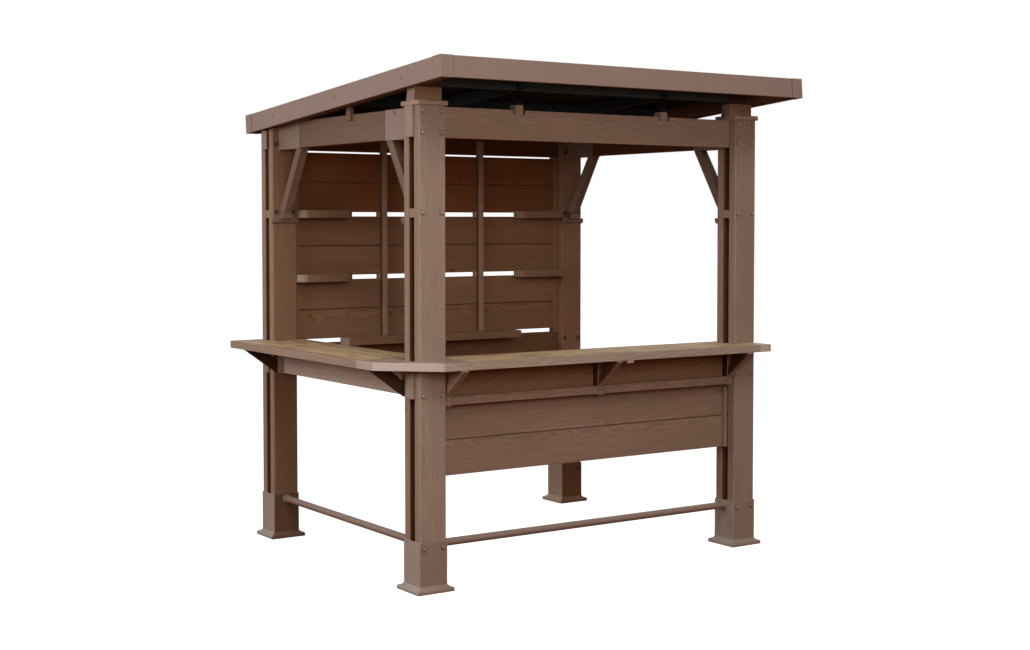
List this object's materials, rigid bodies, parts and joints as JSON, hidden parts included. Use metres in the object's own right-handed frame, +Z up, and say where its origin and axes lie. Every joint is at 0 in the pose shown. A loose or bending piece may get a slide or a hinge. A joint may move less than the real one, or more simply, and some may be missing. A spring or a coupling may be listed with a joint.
{
  "type": "covered garden bar",
  "caption": "Wooden garden bar shelter with twin plank posts, a low pitched roof with a metal edge, an L-shaped counter, a slatted back wall with shelves and footrest bars.",
  "frame": {"origin": "centre of the overall footprint, on the ground", "axes": "+Z up, +X along the front towards the open right side, +Y from the front counter to the back wall"},
  "size_m": [2.2926, 2.0406, 2.4362],
  "materials": {
    "stained_wood": "brown stained planks, satin",
    "wall_wood": "darker brown stained boards, matt",
    "counter_top": "weathered ochre brown planks, matt",
    "brown_metal": "smooth brown paint, satin",
    "black_metal": "black paint, matt"
  },
  "bodies": {
    "root": {"back_beam": "stained_wood", "back_low_beam": "wall_wood", "back_wall": "wall_wood", "beam_sleeve_back_left": "brown_metal", "beam_sleeve_back_right": "brown_metal", "beam_sleeve_front_left": "brown_metal", "beam_sleeve_front_right": "brown_metal", "boot_back_left": "brown_metal", "boot_back_right": "brown_metal", "boot_front_left": "brown_metal", "boot_front_right": "brown_metal", "counter_corner": "stained_wood", "counter_front": "counter_top", "counter_front_end": "stained_wood", "counter_left": "counter_top", "counter_left_end": "stained_wood", "fascia_back": "brown_metal", "fascia_front": "brown_metal", "fascia_left": "brown_metal", "fascia_right": "brown_metal", "footrest_front": "brown_metal", "footrest_left": "brown_metal", "front_beam": "stained_wood", "front_bracket_rail": "stained_wood", "front_low_beam": "stained_wood", "front_panel": "stained_wood", "knee_brace_back_left": "stained_wood", "knee_brace_back_right": "stained_wood", "knee_brace_front_left": "stained_wood", "knee_brace_front_right": "stained_wood", "left_beam": "stained_wood", "left_low_beam": "stained_wood", "post_back_left": "stained_wood", "post_back_right": "stained_wood", "post_front_left": "stained_wood", "post_front_right": "stained_wood", "right_beam": "stained_wood", "roof_frame": "black_metal", "roof_sheet": "black_metal", "shelf_lower_wide": "wall_wood", "shelf_middle_left": "wall_wood", "shelf_middle_right": "wall_wood", "shelf_upper_left": "wall_wood", "shelf_upper_right": "wall_wood", "side_rafter_left": "wall_wood", "side_rafter_right": "wall_wood"}
  },
  "joints": []
}
